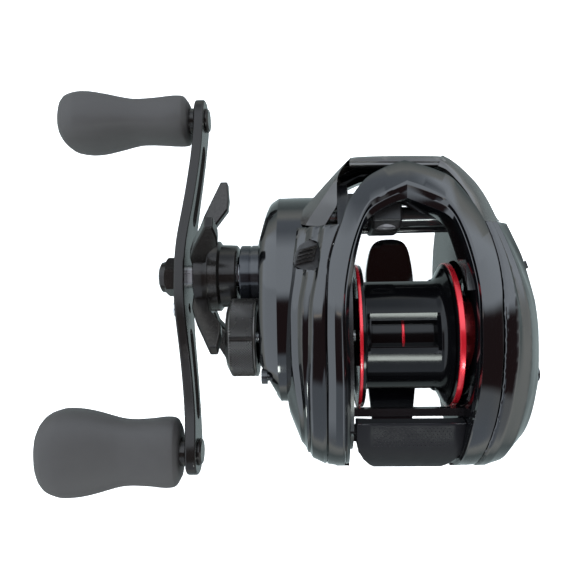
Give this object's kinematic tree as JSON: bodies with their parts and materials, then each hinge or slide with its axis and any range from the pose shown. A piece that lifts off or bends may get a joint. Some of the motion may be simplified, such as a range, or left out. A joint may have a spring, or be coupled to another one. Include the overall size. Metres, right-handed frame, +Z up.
{
  "type": "baitcasting reel",
  "caption": "Low-profile left-hand baitcasting fishing reel with star drag, paddle-knob crank handle, thumb-bar clutch, level-wind line guide, cast control and a magnetic brake.",
  "frame": {"origin": "centre of the foot's flat underside, straight below the middle of the spool", "axes": "+X towards the palm side plate, handle on -X; +Y towards the rod tip; +Z up, away from the rod"},
  "size_m": [0.1207, 0.1039, 0.0515],
  "materials": {
    "frame_black": "black anodised, semi gloss",
    "gloss_black": "gloss black",
    "foot_black": "gloss black anodised",
    "steel": "satin",
    "bearing_steel": "polished",
    "gunmetal": "satin gunmetal",
    "dark_chrome": "polished black nickel",
    "brass": "machined",
    "knob": "soft-touch matte",
    "matte_black": "matte",
    "white_plastic": "matte acetal",
    "carbon": "woven carbon",
    "spool_black": "gloss black anodised",
    "red_anodised": "red anodised",
    "ceramic": "polished ceramic",
    "magnet": "nickel plated"
  },
  "bodies": {
    "frame": {"main_frame": "frame_black", "reel_foot": "foot_black", "foot_rivets": "steel", "top_cover": "gloss_black", "front_hood": "gloss_black", "gear_side_cover": "gloss_black", "palm_side_cover": "gloss_black", "cover_screws": "steel", "worm_tube": "dark_chrome", "guide_rail": "dark_chrome", "worm_bushings": "white_plastic", "pinion_bearings": "bearing_steel", "drive_shaft_bearing": "bearing_steel", "one_way_clutch": "dark_chrome", "yoke_posts": "steel", "spool_bearings": "bearing_steel", "brake_housing": "matte_black"},
    "handle": {"drive_shaft": "steel", "main_gear": "brass", "levelwind_drive_gear": "white_plastic", "drag_washers": "carbon", "drag_metal_washers": "steel", "drag_spring_washers": "steel", "clutch_sleeve": "bearing_steel", "handle_arm": "gunmetal", "handle_nut": "gunmetal", "nut_cap": "gunmetal", "retainer_screw": "steel", "knob_spindles": "gunmetal"},
    "star_drag": {"star_wheel": "gunmetal", "star_hub": "gunmetal"},
    "star_nut": {"star_nut": "brass"},
    "front_knob": {"knob_front": "knob", "knob_front_bearings": "bearing_steel", "knob_front_plug": "matte_black"},
    "rear_knob": {"knob_rear": "knob", "knob_rear_bearings": "bearing_steel", "knob_rear_plug": "matte_black"},
    "spool": {"spool": "spool_black", "spool_rim_rings": "red_anodised", "spool_shaft": "steel", "spool_drive_pin": "steel", "brake_rotor": "red_anodised"},
    "yoke": {"clutch_yoke": "matte_black"},
    "pinion": {"pinion_gear": "brass"},
    "clutch_cam": {"clutch_cam": "steel"},
    "thumb_bar": {"thumb_bar": "matte_black"},
    "worm": {"worm_shaft": "steel", "worm_gear": "white_plastic"},
    "line_guide": {"line_guide": "matte_black", "line_guide_ring": "ceramic", "guide_pawl": "steel"},
    "cast_cap": {"cast_control_cap": "gunmetal", "spool_tension_shim": "brass"},
    "brake_dial": {"brake_dial": "matte_black"},
    "brake_carrier": {"magnet_carrier": "matte_black", "brake_magnets": "magnet"},
    "latch": {"side_plate_latch": "matte_black"}
  },
  "joints": [
    {"name": "handle_turn", "type": "hinge", "parent": "frame", "child": "handle", "pos_m": [0, 0.0152, 0.01395], "axis": [1, 0, 0], "continuous": true},
    {"name": "spool_spin", "type": "hinge", "parent": "frame", "child": "spool", "pos_m": [0, 0, 0.022], "axis": [1, 0, 0], "continuous": true},
    {"name": "worm_spin", "type": "hinge", "parent": "frame", "child": "worm", "pos_m": [0, 0.0286, 0.01922], "axis": [1, 0, 0], "continuous": true},
    {"name": "front_knob_spin", "type": "hinge", "parent": "handle", "child": "front_knob", "pos_m": [-0.07, 0.05784, 0.00643], "axis": [1, 0, 0], "continuous": true},
    {"name": "rear_knob_spin", "type": "hinge", "parent": "handle", "child": "rear_knob", "pos_m": [-0.07, -0.02744, 0.02147], "axis": [1, 0, 0], "continuous": true},
    {"name": "star_drag_turn", "type": "hinge", "parent": "handle", "child": "star_drag", "pos_m": [-0.048, 0.0152, 0.01395], "axis": [1, 0, 0], "range_deg": [-180, 180]},
    {"name": "star_nut_slide", "type": "slide", "parent": "star_drag", "child": "star_nut", "axis": [1, 0, 0], "range_m": [-0.0003, 0.0003]},
    {"name": "thumb_bar_press", "type": "slide", "parent": "frame", "child": "thumb_bar", "axis": [0, 0, -1], "range_m": [0, 0.0045]},
    {"name": "clutch_cam_turn", "type": "hinge", "parent": "frame", "child": "clutch_cam", "pos_m": [0, 0, 0.022], "axis": [1, 0, 0], "range_deg": [0, 13]},
    {"name": "yoke_slide", "type": "slide", "parent": "frame", "child": "yoke", "axis": [-1, 0, 0], "range_m": [0, 0.002]},
    {"name": "pinion_spin", "type": "hinge", "parent": "yoke", "child": "pinion", "pos_m": [0, 0, 0.022], "axis": [1, 0, 0], "continuous": true},
    {"name": "line_guide_slide", "type": "slide", "parent": "frame", "child": "line_guide", "axis": [1, 0, 0], "range_m": [-0.0048, 0.0118]},
    {"name": "cast_control_turn", "type": "hinge", "parent": "frame", "child": "cast_cap", "pos_m": [-0.038, 0, 0.022], "axis": [1, 0, 0], "range_deg": [-180, 180]},
    {"name": "brake_dial_turn", "type": "hinge", "parent": "frame", "child": "brake_dial", "pos_m": [0.0266, 0.0154, 0.02], "axis": [0.9563, 0.2924, 0], "range_deg": [0, 150]},
    {"name": "brake_carrier_slide", "type": "slide", "parent": "frame", "child": "brake_carrier", "axis": [-1, 0, 0], "range_m": [0, 0.0012]},
    {"name": "latch_slide", "type": "slide", "parent": "frame", "child": "latch", "axis": [0, 1, 0], "range_m": [0, 0.0028]}
  ],
  "couplings": [
    {"joint": "spool_spin", "follows": "handle_turn", "ratio": -6.1667},
    {"joint": "pinion_spin", "follows": "handle_turn", "ratio": -6.1667},
    {"joint": "worm_spin", "follows": "handle_turn", "ratio": -2},
    {"joint": "star_nut_slide", "follows": "star_drag_turn", "m_per_rad": 0.000079577},
    {"joint": "clutch_cam_turn", "follows": "thumb_bar_press", "rad_per_m": 50},
    {"joint": "yoke_slide", "follows": "thumb_bar_press", "ratio": 0.4444},
    {"joint": "brake_dial_turn", "follows": "brake_carrier_slide", "rad_per_m": 2181}
  ]
}
